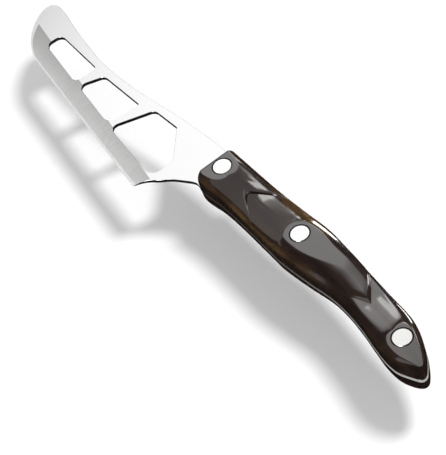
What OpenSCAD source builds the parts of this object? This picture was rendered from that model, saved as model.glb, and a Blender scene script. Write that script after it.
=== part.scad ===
// Riveted cheese knife: a steel blade with three windows and a full tang, two sculpted handle scales and
// three two-piece cutler's rivets.
// The knife lies on its side. X runs from the butt to the tip, Y from the spine to the cutting edge and Z is
// up. The origin is the middle of the middle rivet's lower head, in the plane that the knife rests on.

/* [Handle] */
// Length of the handle, from the butt to its front end
handle_l = 120.2; // [100:0.2:140]
// Distance from the middle rivet to the handle's front end
handle_front = 49.6; // [48:0.2:53]
// Thickness of the handle over its ground flats
handle_t = 15.6; // [14:0.2:18]
// Width of the handle at its palm swell
handle_w = 18.4; // [16.8:0.2:22]
// Depth of the thumb scoop's step
thumb_step = 0.95; // [0.4:0.05:1.4]
// Distance from the front rivet back to the point of the thumb scoop
thumb_gap = 14.9; // [13:0.1:18]
// Depth of the palm swell's step
swell_step = 1.3; // [0.6:0.1:1.8]
// Distance from the rear rivet forward to the point of the palm swell
swell_gap = 18.7; // [16:0.1:22]

/* [Blade] */
// Length of the blade ahead of the handle
blade_l = 125.3; // [110:1:140]
// Depth of the blade's heel from the line through the middle rivet
blade_w = 28; // [25:0.5:31]
// Thickness of the blade and its tang
blade_t = 1.5; // [1.2:0.1:2]
// Width of the ground band at the heel
grind_heel_w = 6.6; // [5.5:0.1:7]
// Width of the ground band at the tip
grind_tip_w = 9.2; // [8:0.1:10]
// Thickness that the ground band leaves at its widest
grind_t = 0.4; // [0.3:0.05:0.7]
// Width that the final bevel would have on steel of full thickness
bevel_w = 2.4; // [2:0.1:3]
// Thickness left at the cutting edge
edge_t = 0.1; // [0.08:0.01:0.2]
// Radius of the edge's sweep to the tip
sweep_r = 29; // [26:0.5:31]

/* [Rivets] */
// Distance from the handle's front end to the front rivet
front_rivet_in = 4.9; // [4.4:0.1:7]
// Distance from the butt to the rear rivet
rear_rivet_in = 12.9; // [11:0.1:16]
// Distance of the outer rivets from the middle one's line, towards the cutting edge
rivet_rise = 1.7; // [1:0.1:2.5]
// Diameter of a rivet's head
head_d = 6.8; // [6:0.1:7.6]
// Thickness of a rivet's head
head_t = 1.6; // [1.2:0.1:2]
// Outside diameter of a rivet's tube
tube_d = 4.4; // [4:0.1:5]
// Diameter of a rivet's pin
pin_d = 2.6; // [2.2:0.1:3]
// Gap round a rivet in its holes
rivet_gap = 0.05; // [0.03:0.01:0.1]

/* [Hidden] */
$fn = 64;
// Overrun of a cut past the surface that it opens
over = 0.5;
// Reach of a cutting or trimming solid past the whole knife
reach = handle_l + blade_l;
half_t = handle_t / 2;
butt_x = handle_front - handle_l;
tip_x = handle_front + blade_l;
front_rivet_x = handle_front - front_rivet_in;
rear_rivet_x = butt_x + rear_rivet_in;
thumb_x = front_rivet_x - thumb_gap;
swell_x = rear_rivet_x + swell_gap;
steel = [0.88, 0.88, 0.9];
resin = [0.16, 0.1, 0.09];

// Handle outline: each row is the distance behind the front end as a share of the handle's length, and the
// distance from the middle rivet's line as a share of its width
top_shares = [[0, 0.602], [0.035, 0.613], [0.11, 0.549], [0.2, 0.53], [0.33, 0.536], [0.4, 0.535],
    [0.46, 0.497], [0.54, 0.431], [0.61, 0.36], [0.67, 0.346], [0.75, 0.383], [0.82, 0.456], [0.88, 0.508],
    [0.93, 0.497], [0.965, 0.41], [1, 0.3]];
bottom_shares = [[0, -0.337], [0.14, -0.378], [0.26, -0.426], [0.36, -0.475], [0.45, -0.508],
    [0.55, -0.468], [0.65, -0.423], [0.76, -0.393], [0.84, -0.35], [0.89, -0.265], [0.934, -0.137],
    [0.97, 0.015], [1, 0.178]];
// Corner radii of the outline: towards the edge and the spine at the front end, and the same at the butt
front_top_r = 2;
front_bottom_r = 0.8;
butt_top_r = 1.1;
butt_bottom_r = 1;
// Rounding of the scales' rims at the front end and the butt, and of the lower scale's rim at the butt
rim_r = 0.5;
lower_butt_r = 6;

// Crown of a scale above the blade's mid plane, in spans between the front end, the front rivet, the thumb
// scoop's point, the middle rivet, the palm swell's point, the rear rivet and the butt. Each row is a share
// of its span and a share of half the handle's thickness. Where that is over 1 the crown is ground flat.
crown_shares = [
    [[0, 1.19], [0.51, 1.165]],
    [[0.05, 1.11], [0.215, 1.05], [0.35, 1.008], [0.5, 0.975]],
    [[0, 0.955], [0.25, 0.955], [0.5, 0.96], [0.65, 0.972], [0.77, 1], [0.836, 1.05], [0.93, 1.08]],
    [[0.12, 1.083], [0.26, 1.057], [0.38, 1.03], [0.5, 1.008], [0.59, 0.995], [0.73, 0.97], [0.87, 0.95]],
    [[0, 0.935], [0.25, 0.945], [0.49, 0.975], [0.71, 1], [0.84, 1.08]],
    [[0, 1.19], [0.42, 1.2], [1, 1.15]]];
marks = [handle_front, front_rivet_x, thumb_x, 0, swell_x, rear_rivet_x, butt_x];
crown = [for (i = [0:len(crown_shares) - 1], row = crown_shares[i])
    [handle_front - marks[i] + row[0] * (marks[i] - marks[i + 1]), row[1] * half_t]];
// How far back the ground behind each step reaches, as a share of the way to the next rivet
scoop_run_share = 0.77;
swell_run_share = 0.71;
// Lean of the crown towards the spine, as shares of the handle's width along its length
lean_shares = [[0, 0], [0.16, 0], [0.41, -0.03], [0.5, -0.055], [0.58, -0.085], [0.68, -0.05], [0.76, 0],
    [1, -0.02]];
// Exponents of a scale's section across its width and up its height
across_power = 2.2;
up_power = 4.5;
// Run of each step's V from its point to the handle's sides, as a share of the handle's width. The thumb
// scoop's arm towards the edge bows forwards by an exponent.
thumb_run_share = 0.68;
thumb_edge_run_share = 0.79;
thumb_edge_power = 1.6;
palm_run_share = 0.64;
// Where each V's point lies across the handle, as a share of its half width
thumb_point_share = 0.02;
palm_point_share = 0.08;
// How far ahead of and behind its point each V straightens out, as a share of the handle's length
thumb_ahead_share = 0.15;
thumb_behind_share = 0.25;
palm_ahead_share = 0.25;
palm_behind_share = 0.18;
// Each step fades between these shares of the half width
fade_from_share = 0.45;
fade_to_share = 0.97;
// Run of a step's face
step_run = 0.3;
// How quickly the ground behind a step rises back to the crown, and how the V's lines fall away
step_power = 1.4;
tent_power = 1.15;
// Facets of a scale: round each corner, between the corners and steps, and across
corner_n = 5;
front_n = 9;
middle_n = 34;
rear_n = 13;
across_n = 20;

// Blade outline: each row is the distance ahead of the handle as a share of the blade's length, and the
// distance from the middle rivet's line as a share of its depth
heel_shares = [[0.016, 0.385], [0.047, 0.465], [0.083, 0.585], [0.111, 0.72], [0.127, 0.785], [0.14, 0.868]];
heel_corner_share = 0.1525;
spine_shares = [[0, -0.19], [0.083, -0.188], [0.18, -0.146], [0.283, -0.09], [0.383, -0.014], [0.483, 0.05],
    [0.563, 0.079], [0.642, 0.089], [0.722, 0.064], [0.842, 0], [0.922, -0.061]];
// Fall of the cutting edge from the heel to the start of its sweep, over its run
edge_fall_share = 0.0905;
// Radius that blends the sweep into the spine at the tip, and the directions where it starts and ends
tip_r = 4.9;
tip_turn = 28;
tip_end_turn = -97;

// Windows: corners as shares of the blade's length ahead of the handle and of its depth, with each corner's
// radius as a share of the depth
window_shares = [
    [[0.136, 0.75, 0.15], [0.397, 0.67, 0.09], [0.344, 0.068, 0.11], [0.236, 0.027, 0.04], [0.137, 0.39, 0.14]],
    [[0.399, 0.157, 0.04], [0.409, 0.652, 0.16], [0.618, 0.566, 0.09], [0.585, 0.211, 0.11]],
    [[0.636, 0.207, 0.045], [0.636, 0.566, 0.11], [0.852, 0.47, 0.11], [0.847, 0.214, 0.11]]];
// Facets of a window's corner, of each arc at the tip, and along the tang, the heel and the spine
fillet_n = 8;
arc_n = 16;
tang_n = 70;
heel_n = 24;
spine_n = 40;

// Rivets
rivets = [[front_rivet_x, rivet_rise], [0, 0], [rear_rivet_x, rivet_rise]];
// Chamfer of a head's rim
head_chamfer = 0.15;
// Room left between the tube's mouth and the pin's head
tube_gap = 0.3;
// Gap between the pin and the tube's bore
pin_gap = 0.02;

// A smooth curve through the rows of a table, each a place and a value, with the places rising
function row_at(table, x, i = 0) = i >= len(table) - 2 || x <= table[i + 1][0] ? i : row_at(table, x, i + 1);
function rise_at(table, i) =
    let (lo = max(i - 1, 0), hi = min(i + 1, len(table) - 1))
    (table[hi][1] - table[lo][1]) / (table[hi][0] - table[lo][0]);
function curve(table, x) =
    let (i = row_at(table, x), run = table[i + 1][0] - table[i][0], u = (x - table[i][0]) / run)
    table[i][1] * (2 * u ^ 3 - 3 * u ^ 2 + 1) + rise_at(table, i) * run * (u ^ 3 - 2 * u ^ 2 + u)
    + table[i + 1][1] * (3 * u ^ 2 - 2 * u ^ 3) + rise_at(table, i + 1) * run * (u ^ 3 - u ^ 2);
function scaled(shares, along, across) = [for (row = shares) [row[0] * along, row[1] * across]];
// How far a rounded corner of radius r draws in at a distance from its end
function drawn_in(distance, r) = distance >= r ? 0 : r - sqrt(max(r ^ 2 - (r - distance) ^ 2, 0));
function clamped(u) = min(max(u, 0), 1);
function eased(u) = let (v = clamped(u)) v * v * (3 - 2 * v);

// The handle's two sides at a place along X, with the corners of its ends
top_edge = scaled(top_shares, handle_l, handle_w);
bottom_edge = scaled(bottom_shares, handle_l, handle_w);
function side_top(x) = curve(top_edge, handle_front - x)
    - drawn_in(handle_front - x, front_top_r) - drawn_in(x - butt_x, butt_top_r);
function side_bottom(x) = curve(bottom_edge, handle_front - x)
    + drawn_in(handle_front - x, front_bottom_r) + drawn_in(x - butt_x, butt_bottom_r);

// The form of a scale: a station is a place along the handle and a zone, 0 ahead of the thumb scoop's step,
// 1 between the steps and 2 behind the palm swell's step
lean = scaled(lean_shares, handle_l, handle_w);
scoop_end = thumb_x - scoop_run_share * thumb_x;
swell_end = swell_x + swell_run_share * (rear_rivet_x - swell_x);
function fade(a) = 1 - eased((abs(a) - fade_from_share) / (fade_to_share - fade_from_share));
// How far a place lies below the plain crown, behind the thumb scoop's step or the palm swell's step
function depth(s, a, zone) = fade(a) * (
    zone == 1 ? thumb_step * clamped((s - scoop_end) / (thumb_x - scoop_end)) ^ step_power
    : zone == 2 ? swell_step * clamped((s - swell_end) / (swell_x - swell_end)) ^ step_power
    : 0);
function tent(s, point, ahead, behind) =
    s > point ? clamped(1 - (s - point) / (ahead * handle_l)) ^ tent_power
    : clamped(1 - (point - s) / (behind * handle_l)) ^ tent_power;
function thumb_arm(u) = u > 0 ? thumb_edge_run_share * u ^ thumb_edge_power : -thumb_run_share * u;
function place(s, a) = s
    - tent(s, thumb_x, thumb_ahead_share, thumb_behind_share) * handle_w * thumb_arm(a - thumb_point_share)
    + tent(s, swell_x, palm_ahead_share, palm_behind_share) * palm_run_share * handle_w
        * abs(a - palm_point_share);
function scale_point(s, zone, turn, butt_r) =
    let (a = -sign(cos(turn)) * abs(cos(turn)) ^ (2 / across_power),
        lift = max(sin(turn), 0) ^ (2 / up_power),
        x = place(s, a),
        top = side_top(x),
        bottom = side_bottom(x),
        height = curve(crown, handle_front - s) - depth(s, a, zone)
            - drawn_in(handle_front - x, rim_r) - drawn_in(x - butt_x, butt_r))
    [x, (top + bottom) / 2 + a * (top - bottom) / 2 + curve(lean, handle_front - x) * lift ^ 2,
        half_t + max(height * lift, blade_t / 2)];

// The stations of a scale from the front end to the butt, and its rings of points
front_corner_r = max(front_top_r, front_bottom_r);
butt_corner_r = max(butt_top_r, butt_bottom_r);
function corner_places(r) = [for (i = [0:corner_n]) r * (1 - cos(90 * i / corner_n))];
function run_of(from, to, n) = [for (i = [1:n - 1]) from + (to - from) * i / n];
front_places = [for (c = corner_places(front_corner_r)) handle_front - c];
butt_places = [for (i = [corner_n:-1:0]) butt_x + corner_places(butt_corner_r)[i]];
stations = concat(
    [for (s = front_places) [s, 0]],
    [for (s = run_of(handle_front - front_corner_r, thumb_x, front_n)) [s, 0]],
    [[thumb_x, 0], [thumb_x - step_run, 1]],
    [for (s = run_of(thumb_x - step_run, swell_x, middle_n)) [s, 1]],
    [[swell_x, 1], [swell_x - step_run, 2]],
    [for (s = run_of(swell_x - step_run, butt_x + butt_corner_r, rear_n)) [s, 2]],
    [for (s = butt_places) [s, 2]]);
ring_n = across_n + 1;
function scale_points(butt_r) = [for (station = stations, j = [0:across_n])
    scale_point(station[0], station[1], 180 * j / across_n, butt_r)];
scale_faces = concat(
    [[for (j = [0:across_n]) j]],
    [[for (j = [across_n:-1:0]) (len(stations) - 1) * ring_n + j]],
    [for (i = [0:len(stations) - 2], j = [0:across_n])
        let (k = (j + 1) % ring_n, p = i * ring_n, q = (i + 1) * ring_n)
        for (face = [[p + j, q + j, p + k], [p + k, q + j, q + k]]) face]);

// A scale with its flats ground and its rivet holes bored and counterbored
module handle_scale(butt_r) {
    difference() {
        intersection() {
            polyhedron(scale_points(butt_r), scale_faces);
            translate([-reach, -reach, 0]) cube([2 * reach, 2 * reach, handle_t]);
        }
        for (place = rivets) translate(place) {
            translate([0, 0, half_t]) cylinder(h = handle_t, d = tube_d + 2 * rivet_gap);
            translate([0, 0, handle_t - head_t]) cylinder(h = handle_t, d = head_d + 2 * rivet_gap);
        }
    }
}

module upper_scale() {
    color(resin) handle_scale(rim_r);
}

module lower_scale() {
    color(resin) translate([0, 0, handle_t]) mirror([0, 0, 1]) handle_scale(lower_butt_r);
}

// An outline's rounded corner at b, between neighbours a and c
function unit(v) = v / norm(v);
function fillet(a, b, c, r) =
    let (u = unit(a - b), v = unit(c - b),
        half = acos(u * v) / 2,
        centre = b + unit(u + v) * r / sin(half),
        start = b + u * r / tan(half) - centre,
        turn = (u.x * v.y - u.y * v.x > 0 ? -1 : 1) * (180 - 2 * half))
    [for (i = [0:fillet_n]) let (t = turn * i / fillet_n)
        centre + [start.x * cos(t) - start.y * sin(t), start.x * sin(t) + start.y * cos(t)]];
function blade_point(share) = [handle_front + share[0] * blade_l, share[1] * blade_w];
function rounded(corners) = [for (i = [0:len(corners) - 1])
    let (before = corners[(i + len(corners) - 1) % len(corners)], after = corners[(i + 1) % len(corners)])
    for (p = fillet(blade_point(before), blade_point(corners[i]), blade_point(after), corners[i][2] * blade_w))
        p];

// The cutting edge falls in a straight line from the heel, sweeps round an arc and blends into the spine
heel_corner = [handle_front + heel_corner_share * blade_l, blade_w];
edge_angle = -atan(edge_fall_share);
edge_normal = [-sin(edge_angle), cos(edge_angle)];
sweep_x = tip_x - tip_r - (sweep_r - tip_r) * cos(tip_turn);
sweep_start = [sweep_x + sweep_r * edge_normal.x,
    blade_w - (sweep_x + sweep_r * edge_normal.x - heel_corner.x) * edge_fall_share];
sweep_centre = sweep_start - sweep_r * edge_normal;
tip_centre = sweep_centre + (sweep_r - tip_r) * [cos(tip_turn), sin(tip_turn)];
function arc(centre, r, from, to) = [for (i = [0:arc_n])
    let (t = from + (to - from) * i / arc_n) centre + r * [cos(t), sin(t)]];

// The blade's outline: along the tang, round the heel, down the edge, round the tip and back by the spine
heel = concat([[-front_top_r, side_top(handle_front - front_top_r)]], scaled(heel_shares, blade_l, blade_w),
    [heel_corner - [handle_front, 0]]);
spine = scaled(spine_shares, blade_l, blade_w);
spine_end = spine[len(spine) - 1].x;
tang_places = concat([for (c = corner_places(butt_corner_r)) butt_x + c],
    run_of(butt_x + butt_corner_r, handle_front - front_top_r, tang_n));
outline = concat(
    [for (x = tang_places) [x, side_top(x)]],
    [for (i = [0:heel_n]) let (x = -front_top_r + (heel_corner.x - handle_front + front_top_r) * i / heel_n)
        [handle_front + x, curve(heel, x)]],
    arc(sweep_centre, sweep_r, 90 + edge_angle, tip_turn),
    arc(tip_centre, tip_r, tip_turn, tip_end_turn),
    [for (i = [spine_n:-1:0]) let (x = spine_end * i / spine_n) [handle_front + x, curve(spine, x)]],
    [for (i = [len(tang_places) - 1:-1:0]) [tang_places[i], side_bottom(tang_places[i])]]);

// Steel left by the hollow grind, which tapers from a line along the blade, as a long prism
grind_start = heel_corner - [0, grind_heel_w];
grind_end = sweep_start - [0, grind_tip_w];
grind_angle = atan2(grind_end.y - grind_start.y, grind_end.x - grind_start.x);
grind_run = grind_tip_w + over;
grind_half_t = (blade_t - (blade_t - grind_t) * grind_run / grind_tip_w) / 2;
grind_profile = [[-reach, blade_t / 2], [0, blade_t / 2], [grind_run, grind_half_t],
    [grind_run, -grind_half_t], [0, -blade_t / 2], [-reach, -blade_t / 2]];
// Steel left by the final bevel, whose profile is measured outwards to the edge
bevel_run = bevel_w * (2 * blade_t - edge_t) / (blade_t - edge_t);
bevel_profile = [[-reach, blade_t], [-bevel_run, blade_t], [0, edge_t / 2],
    [0, -edge_t / 2], [-bevel_run, -blade_t], [-reach, -blade_t]];

module prism(profile, from, length) {
    translate([from, 0, 0]) rotate([90, 0, 90]) linear_extrude(length) polygon(profile);
}

module blade_steel() {
    intersection() {
        translate([0, 0, -blade_t]) linear_extrude(2 * blade_t) polygon(outline);
        translate(grind_start) rotate(grind_angle) prism(grind_profile, -reach, 2 * reach);
        union() {
            translate(sweep_start) rotate(edge_angle) prism(bevel_profile, -reach, reach);
            translate(sweep_centre) rotate_extrude() polygon([[0, -blade_t], [sweep_r - bevel_run, -blade_t],
                [sweep_r, -edge_t / 2], [sweep_r, edge_t / 2], [sweep_r - bevel_run, blade_t], [0, blade_t]]);
        }
    }
}

module blade() {
    color(steel) translate([0, 0, half_t]) difference() {
        blade_steel();
        for (corners = window_shares)
            translate([0, 0, -blade_t]) linear_extrude(2 * blade_t) polygon(rounded(corners));
        for (place = rivets)
            translate(place) cylinder(h = 2 * blade_t, d = tube_d + 2 * rivet_gap, center = true);
    }
}

// A rivet's head, standing on its inner face with its rim chamfered outside
module rivet_head() {
    cylinder(h = head_t - head_chamfer, d = head_d);
    translate([0, 0, head_t - head_chamfer])
        cylinder(h = head_chamfer, d1 = head_d, d2 = head_d - 2 * head_chamfer);
}

// The half with the tube: its head is above and its tube's mouth stops short of the other head
module rivet_tube(place) {
    color(steel) translate(place) {
        translate([0, 0, handle_t - head_t]) rivet_head();
        translate([0, 0, head_t + tube_gap]) difference() {
            cylinder(h = handle_t - 2 * head_t - tube_gap, d = tube_d);
            translate([0, 0, -over])
                cylinder(h = handle_t - 2 * head_t - tube_gap + over, d = pin_d + 2 * pin_gap);
        }
    }
}

// The half with the pin, which is pressed up into the tube
module rivet_pin(place) {
    color(steel) translate(place) {
        translate([0, 0, head_t]) mirror([0, 0, 1]) rivet_head();
        translate([0, 0, head_t]) cylinder(h = handle_t - 2 * head_t - tube_gap, d = pin_d);
    }
}

module front_rivet_tube() {
    rivet_tube(rivets[0]);
}

module front_rivet_pin() {
    rivet_pin(rivets[0]);
}

module middle_rivet_tube() {
    rivet_tube(rivets[1]);
}

module middle_rivet_pin() {
    rivet_pin(rivets[1]);
}

module rear_rivet_tube() {
    rivet_tube(rivets[2]);
}

module rear_rivet_pin() {
    rivet_pin(rivets[2]);
}

blade();
upper_scale();
lower_scale();
front_rivet_tube();
front_rivet_pin();
middle_rivet_tube();
middle_rivet_pin();
rear_rivet_tube();
rear_rivet_pin();
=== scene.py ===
# Riveted cheese knife lying over a white table: a steel blade with three windows, a full tang, two
# sculpted handle scales and three cutler's rivets. Shapes are worked out in millimetres in the CAD frame:
# X from the butt to the tip, Y from the spine to the cutting edge, Z up, origin under the middle rivet.
import math

import bpy
import bmesh
import numpy as np
from mathutils import Matrix, Vector


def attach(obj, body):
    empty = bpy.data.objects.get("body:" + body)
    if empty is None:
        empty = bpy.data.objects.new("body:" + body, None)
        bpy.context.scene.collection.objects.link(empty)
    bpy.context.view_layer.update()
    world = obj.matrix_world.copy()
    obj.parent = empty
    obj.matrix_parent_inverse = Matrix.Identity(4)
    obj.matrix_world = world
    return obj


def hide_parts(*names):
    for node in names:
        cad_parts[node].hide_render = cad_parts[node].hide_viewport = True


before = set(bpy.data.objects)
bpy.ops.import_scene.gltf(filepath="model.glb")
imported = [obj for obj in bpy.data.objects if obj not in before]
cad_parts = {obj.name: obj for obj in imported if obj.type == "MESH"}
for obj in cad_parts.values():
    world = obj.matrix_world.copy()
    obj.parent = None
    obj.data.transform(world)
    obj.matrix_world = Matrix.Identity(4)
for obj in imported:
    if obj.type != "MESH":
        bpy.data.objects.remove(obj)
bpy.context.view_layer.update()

MM = 0.001

# Driving dimensions, as the part has them, but for the thumb's step, which is 0.1 deeper here
HANDLE_L = 120.2
HANDLE_FRONT = 49.6
HANDLE_T = 15.6
HANDLE_W = 18.4
THUMB_STEP = 1.05
THUMB_GAP = 14.9
SWELL_STEP = 1.3
SWELL_GAP = 18.7
BLADE_L = 125.3
BLADE_W = 28.0
BLADE_T = 1.5
GRIND_HEEL_W = 6.6
GRIND_TIP_W = 9.2
GRIND_T = 0.4
BEVEL_W = 2.4
EDGE_T = 0.1
SWEEP_R = 29.0
FRONT_RIVET_IN = 4.9
REAR_RIVET_IN = 12.9
RIVET_RISE = 1.7
HEAD_D = 6.8
HEAD_T = 1.6
TUBE_D = 4.4
RIVET_GAP = 0.05

HALF_T = HANDLE_T / 2
BUTT_X = HANDLE_FRONT - HANDLE_L
TIP_X = HANDLE_FRONT + BLADE_L
FRONT_RIVET_X = HANDLE_FRONT - FRONT_RIVET_IN
REAR_RIVET_X = BUTT_X + REAR_RIVET_IN
THUMB_X = FRONT_RIVET_X - THUMB_GAP
SWELL_X = REAR_RIVET_X + SWELL_GAP
RIVETS = [(FRONT_RIVET_X, RIVET_RISE), (0, 0), (REAR_RIVET_X, RIVET_RISE)]

# The handle's outline, whose top is the side of the cutting edge: distance behind the front end and from
# the middle line, as shares of the handle's length and width
TOP_SHARES = [
    (0, 0.602), (0.035, 0.613), (0.11, 0.549), (0.2, 0.53), (0.33, 0.536), (0.4, 0.535), (0.46, 0.497),
    (0.54, 0.431), (0.61, 0.36), (0.67, 0.346), (0.75, 0.383), (0.82, 0.456), (0.88, 0.508), (0.93, 0.497),
    (0.965, 0.41), (1, 0.3),
]
BOTTOM_SHARES = [
    (0, -0.337), (0.14, -0.378), (0.26, -0.426), (0.36, -0.475), (0.45, -0.508), (0.55, -0.468),
    (0.65, -0.423), (0.76, -0.393), (0.84, -0.35), (0.89, -0.265), (0.934, -0.137), (0.97, 0.015),
    (1, 0.178),
]
# Radii of the outline's four corners
FRONT_TOP_R = 2.0
FRONT_BOTTOM_R = 0.8
BUTT_TOP_R = 1.1
BUTT_BOTTOM_R = 1.0
# Rounding of the scales' rims: at the upper one's butt, at the front end, and at the lower one's butt
RIM_R = 0.5
FRONT_RIM_R = 0.9
LOWER_BUTT_R = 6.0

# The scales' crown, in spans between the marks: share of the span, share of half the thickness
CROWN_SHARES = [
    [(0, 1.19), (0.51, 1.165)],
    [(0.05, 1.11), (0.215, 1.05), (0.35, 1.008), (0.5, 0.975)],
    [(0, 0.955), (0.25, 0.955), (0.5, 0.96), (0.61, 0.968), (0.76, 0.988), (0.82, 1.02), (0.88, 1.06)],
    [(0.12, 1.083), (0.26, 1.057), (0.38, 1.03), (0.5, 1.008), (0.59, 0.995), (0.73, 0.97), (0.87, 0.95)],
    [(0, 0.935), (0.25, 0.945), (0.49, 0.96), (0.74, 0.99), (0.84, 1.04)],
    [(0, 1.12), (0.42, 1.12), (1, 1.1)],
]
MARKS = [HANDLE_FRONT, FRONT_RIVET_X, THUMB_X, 0, SWELL_X, REAR_RIVET_X, BUTT_X]
# How far the crown leans to one side: distance behind the front end and shift, in the outline's shares
LEAN_SHARES = [
    (0, 0), (0.16, 0), (0.41, -0.03), (0.5, -0.055), (0.58, -0.085), (0.68, -0.05), (0.76, 0), (1, -0.02),
]
# A scale's section is a superellipse: its power across, its power up, and a softer power up on the spine's
# side. The softer one comes in along the handle from each end, and across it from the middle line.
ACROSS_POWER = 2.2
UP_POWER = 4.5
SPINE_UP_POWER = 3.4
SPINE_FRONT_REACH = (36.0, 22.0)
SPINE_REAR_REACH = (-52.0, -38.0)
SPINE_SIDE_REACH = (0, 0.3)
# The V of each step: how far its arms run along the handle, as a share of the width, where its point lies
# across, as a share of the half width, and how far ahead of it and behind it the stations bend with it
THUMB_RUN = 0.68
THUMB_EDGE_RUN = 0.79
THUMB_EDGE_POWER = 1.6
PALM_RUN = 0.64
THUMB_POINT = 0.02
PALM_POINT = 0.08
THUMB_REACH = (0.15 * HANDLE_L, 0.25 * HANDLE_L)
PALM_REACH = (0.25 * HANDLE_L, 0.18 * HANDLE_L)
TENT_POWER = 1.15
# Where the ground behind each step meets the plain crown again, as a share of the way to the next rivet,
# and how the thumb's scoop rises to it
SCOOP_SHARE = 0.81
SWELL_SHARE = 0.78
SCOOP_END = THUMB_X * (1 - SCOOP_SHARE)
SWELL_END = SWELL_X + SWELL_SHARE * (REAR_RIVET_X - SWELL_X)
SCOOP_POWER = 1.5
# Where the ground fades out across the handle, as shares of its half width: in the thumb's scoop and
# behind the palm's step, towards the edge and then towards the spine
THUMB_FADE = (0.45, 1.0)
PALM_FADE = (0.1, 1.0)
THUMB_SPINE_FADE = (0.7, 1.0)
PALM_SPINE_FADE = (0.45, 0.97)
# Each step's face: how far ahead of the V's line its rounded lip starts, and its whole run to the foot
THUMB_FACE = (0.9, 2.1)
PALM_FACE = (2.1, 2.3)
# The shoulder beside the thumb's scoop, cut more steeply towards the spine, from an edge given by place
# along the handle and share of the half width. It comes in over a run at each end and fades to the rim.
SHOULDER_EDGE = [(-12, 0.66), (-2, 0.6), (6, 0.42), (14, 0.42), (18, 0.55), (22, 0.8), (28, 0.95)]
SHOULDER_SLOPE = 0.17
SHOULDER_BLEND = 0.08
SHOULDER_RUN = 8.0
SHOULDER_FADE = (0.8, 1.0)
# The shallow dish ahead of the thumb's step, and the palm swell's roll down to its step on the edge's side
DISH_GAP = 4.6
DISH_START = FRONT_RIVET_X - DISH_GAP
DISH_DEPTH = 0.55
DISH_POWER = 1.5
DISH_HALF = 0.8
SWELL_ROLL = 0.35
SWELL_ROLL_RUN = 5.0
SWELL_ROLL_SIDE = (-0.2, 0.3)
# Rounding where a ground flat meets the crown, and the chamfer round each rivet's counterbore
FLAT_BLEND = 0.06
HOLE_RIM = 0.35

# The blade's heel, spine and windows, as shares of its length ahead of the handle and of its depth. Each
# corner of a window has its radius as well, as a share of the depth. The edge falls by a share of its way
# to the tip, which is an arc between two turns, in degrees from straight ahead.
HEEL_SHARES = [
    (0.016, 0.385), (0.047, 0.465), (0.083, 0.585), (0.111, 0.72), (0.127, 0.785), (0.14, 0.868),
]
HEEL_CORNER_SHARE = 0.1525
SPINE_SHARES = [
    (0, -0.19), (0.083, -0.188), (0.18, -0.146), (0.283, -0.09), (0.383, -0.014), (0.483, 0.05),
    (0.563, 0.079), (0.642, 0.089), (0.722, 0.064), (0.842, 0), (0.922, -0.061),
]
EDGE_FALL = 0.0905
TIP_R = 4.9
TIP_TURN = 28
TIP_END_TURN = -97
WINDOW_SHARES = [
    [
        (0.136, 0.75, 0.15), (0.397, 0.67, 0.09), (0.344, 0.068, 0.11), (0.236, 0.027, 0.04),
        (0.137, 0.39, 0.14),
    ],
    [(0.399, 0.157, 0.04), (0.409, 0.652, 0.16), (0.618, 0.566, 0.09), (0.585, 0.211, 0.11)],
    [(0.636, 0.207, 0.045), (0.636, 0.566, 0.11), (0.852, 0.47, 0.11), (0.847, 0.214, 0.11)],
]
# The chamfer of the blade's rims, how hollow its ground band is, where 1 would be a flat taper, and how far
# that hollow is worked out, as a share of the band's width
RIM_CHAMFER = 0.1
HOLLOW_POWER = 1.4
GRIND_REACH = 1.4
# The blade's finishes, by their number in its mesh
POLISHED, HONED, PAINTED_SHADE_WALL, BUFFED, SATIN = range(5)

# How fine a scale's mesh is: stations in each end's rounding, how far they reach at the butt, a margin at
# each step, gaps between stations, and points round a section
END_STATIONS = 12
BUTT_RUN = 2.0
STEP_MARGIN = 0.15
STEP_GAP = 0.06
FRONT_GAP = 0.5
MIDDLE_GAP = 0.35
REAR_GAP = 0.4
SECTION_POINTS = 97
# How fine the blade's mesh is: points or steps on each stretch of its outline and on a window's corner, and
# the lines along its ground band, as shares of the band's width
BUTT_STEPS = 10
TANG_GAP = 1.0
HEEL_POINTS = 70
EDGE_STEPS = 60
TIP_STEPS = 40
SPINE_POINTS = 120
CORNER_STEPS = 16
GRIND_LINES = np.linspace(0, 0.95, 20)
# Sides of round holes, how far a cutter stands past its cut, and the angles from which an edge stays sharp
HOLE_SIDES = 72
TANG_HOLE_SIDES = 48
CUT_PAST = 1.0
SCALE_SHARP = 40
BLADE_SHARP = 25
# The least that a corner's mitre is divided by, the depths at which the final bevel is looked for, the
# least height that it takes off, how far behind the heel's corner it may start, and tolerances
MITRE_LEAST = 0.35
BEVEL_DEPTHS = np.linspace(0, 4, 401)
BEVEL_LEAST = 0.02
HEEL_MARGIN = 1.0
SNAP = 1e-5
ON_LINE = 1e-3
TINY = 1e-12

# The photograph's camera, in millimetres in the same frame
CAMERA_AT = Vector((-351.216, 134.870, 467.484))
CAMERA_RIGHT = Vector((-0.55570, -0.79206, -0.25265))
CAMERA_DOWN = Vector((-0.54922, 0.57789, -0.60366))
FOCAL_PX = 1745.5
PHOTO_H = 455


# Curves

def curve(table, places):
    """A smooth curve through the rows of a table, at an array of places."""
    x = np.array([row[0] for row in table], float)
    y = np.array([row[1] for row in table], float)
    low = np.maximum(np.arange(len(x)) - 1, 0)
    high = np.minimum(np.arange(len(x)) + 1, len(x) - 1)
    rise = (y[high] - y[low]) / (x[high] - x[low])
    at = np.asarray(places, float)
    i = np.clip(np.searchsorted(x, at, side="left") - 1, 0, len(x) - 2)
    run = x[i + 1] - x[i]
    u = (at - x[i]) / run
    value = y[i] * (2 * u**3 - 3 * u**2 + 1) + rise[i] * run * (u**3 - 2 * u**2 + u)
    return value + y[i + 1] * (3 * u**2 - 2 * u**3) + rise[i + 1] * run * (u**3 - u**2)


def scaled(shares, along, across):
    return [(a * along, b * across) for a, b in shares]


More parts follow.
